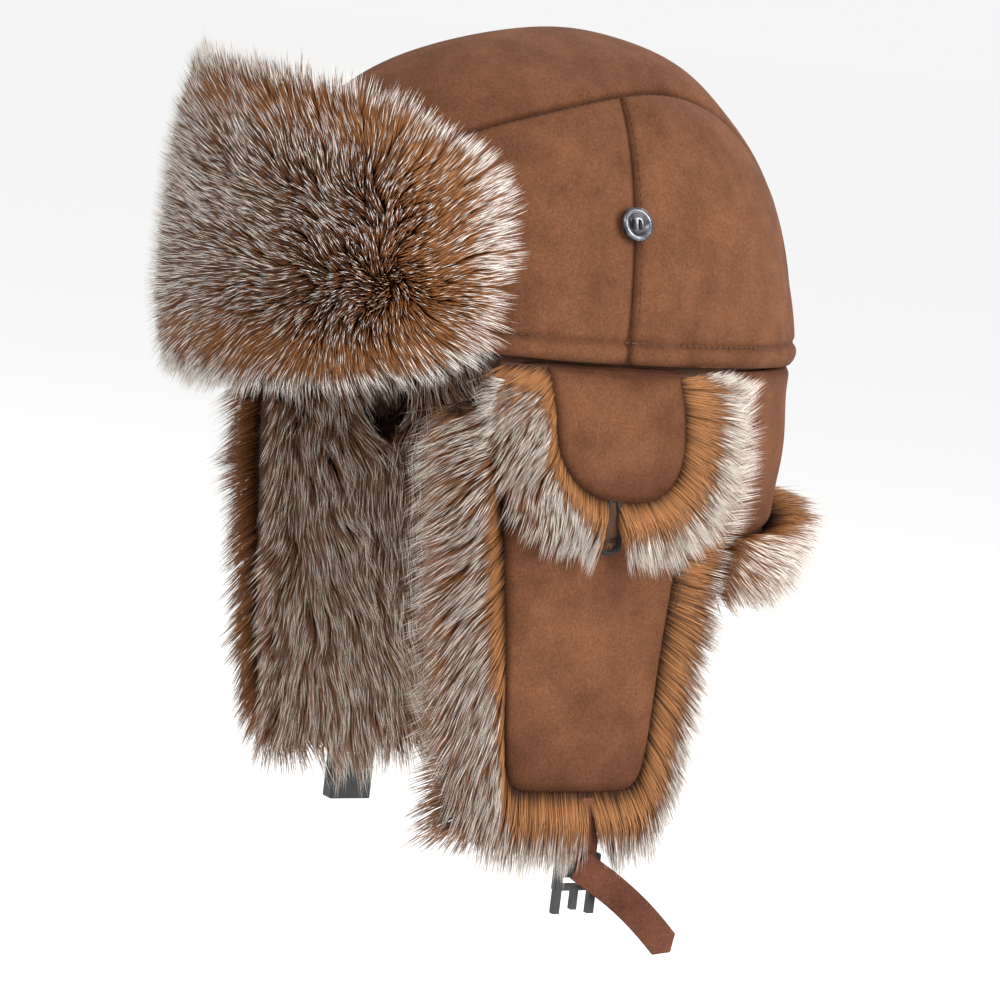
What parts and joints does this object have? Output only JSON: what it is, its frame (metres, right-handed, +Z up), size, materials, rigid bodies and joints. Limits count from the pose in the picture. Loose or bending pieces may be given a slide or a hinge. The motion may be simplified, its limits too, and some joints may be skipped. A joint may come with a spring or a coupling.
{
  "type": "trapper hat",
  "caption": "Faux suede trapper hat with a turned-up fur front flap, fur-lined ear flaps with lifting ear covers, a nape flap and a chin strap with a side-release buckle.",
  "frame": {"origin": "the middle of the head opening, at the height of the seam between the crown and the flaps", "axes": "+Z up along the crown, -Y to the forehead, +X to the wearer's left"},
  "size_m": [0.2026, 0.2695, 0.334],
  "materials": {
    "suede": "matte brushed faux suede, warm mid brown with a mottled nap",
    "strap_suede": "the same faux suede, darker and redder, edge painted",
    "faux_fur": "long pile: dark brown roots, orange brown middle, cream tips",
    "wadding": "white polyester wadding, hidden between the layers",
    "satin_lining": "dark brown quilted satin",
    "sweatband_tape": "black woven tape",
    "button_shell": "gunmetal with a bright worn rim",
    "button_thread": "black thread",
    "elastic_cord": "black covered elastic",
    "buckle_plastic": "black moulded acetal"
  },
  "bodies": {
    "crown": {"crown_top_panel": "suede", "crown_side_front_left": "suede", "crown_side_front_right": "suede", "crown_side_rear_left": "suede", "crown_side_rear_right": "suede", "crown_wadding": "wadding", "crown_lining": "satin_lining", "sweatband": "sweatband_tape", "button_left": "button_shell", "button_right": "button_shell", "button_thread_left": "button_thread", "button_thread_right": "button_thread", "nape_shell": "suede", "nape_wadding": "wadding", "nape_fur": "faux_fur"},
    "front_flap": {"front_flap_shell": "suede", "front_flap_wadding": "wadding", "front_flap_fur": "faux_fur"},
    "ear_flap_left": {"ear_flap_shell_left": "suede", "ear_flap_wadding_left": "wadding", "ear_flap_fur_left": "faux_fur", "strap_stay_left": "strap_suede"},
    "ear_cover_left": {"ear_cover_shell_left": "suede", "ear_cover_fur_left": "faux_fur", "ear_cover_loop_left": "elastic_cord"},
    "strap_left": {"chin_strap_left": "strap_suede", "buckle_plug_left": "buckle_plastic"},
    "ear_flap_right": {"ear_flap_shell_right": "suede", "ear_flap_wadding_right": "wadding", "ear_flap_fur_right": "faux_fur", "strap_stay_right": "strap_suede"},
    "ear_cover_right": {"ear_cover_shell_right": "suede", "ear_cover_fur_right": "faux_fur", "ear_cover_loop_right": "elastic_cord"},
    "strap_right": {"chin_strap_right": "strap_suede", "buckle_socket_right": "buckle_plastic"}
  },
  "joints": [
    {"name": "front_flap_fold", "type": "hinge", "parent": "crown", "child": "front_flap", "pos_m": [0, -0.1135, -0.002], "axis": [1, 0, 0], "range_deg": [0, 80]},
    {"name": "ear_flap_lift_left", "type": "hinge", "parent": "crown", "child": "ear_flap_left", "pos_m": [0.0905, 0, -0.0012], "axis": [0, -1, 0], "range_deg": [0, 100]},
    {"name": "ear_cover_lift_left", "type": "hinge", "parent": "ear_flap_left", "child": "ear_cover_left", "pos_m": [0.0925, 0, -0.001], "axis": [0, 1, 0], "range_deg": [-160, 0]},
    {"name": "chin_strap_swing_left", "type": "hinge", "parent": "ear_flap_left", "child": "strap_left", "pos_m": [0.091, 0.005, -0.1735], "axis": [0, 1, 0], "range_deg": [-40, 12]},
    {"name": "ear_flap_lift_right", "type": "hinge", "parent": "crown", "child": "ear_flap_right", "pos_m": [-0.0905, 0, -0.0012], "axis": [0, 1, 0], "range_deg": [0, 100]},
    {"name": "ear_cover_lift_right", "type": "hinge", "parent": "ear_flap_right", "child": "ear_cover_right", "pos_m": [-0.0925, 0, -0.001], "axis": [0, -1, 0], "range_deg": [-160, 0]},
    {"name": "chin_strap_swing_right", "type": "hinge", "parent": "ear_flap_right", "child": "strap_right", "pos_m": [-0.091, 0.005, -0.1735], "axis": [0, -1, 0], "range_deg": [-40, 12]}
  ]
}
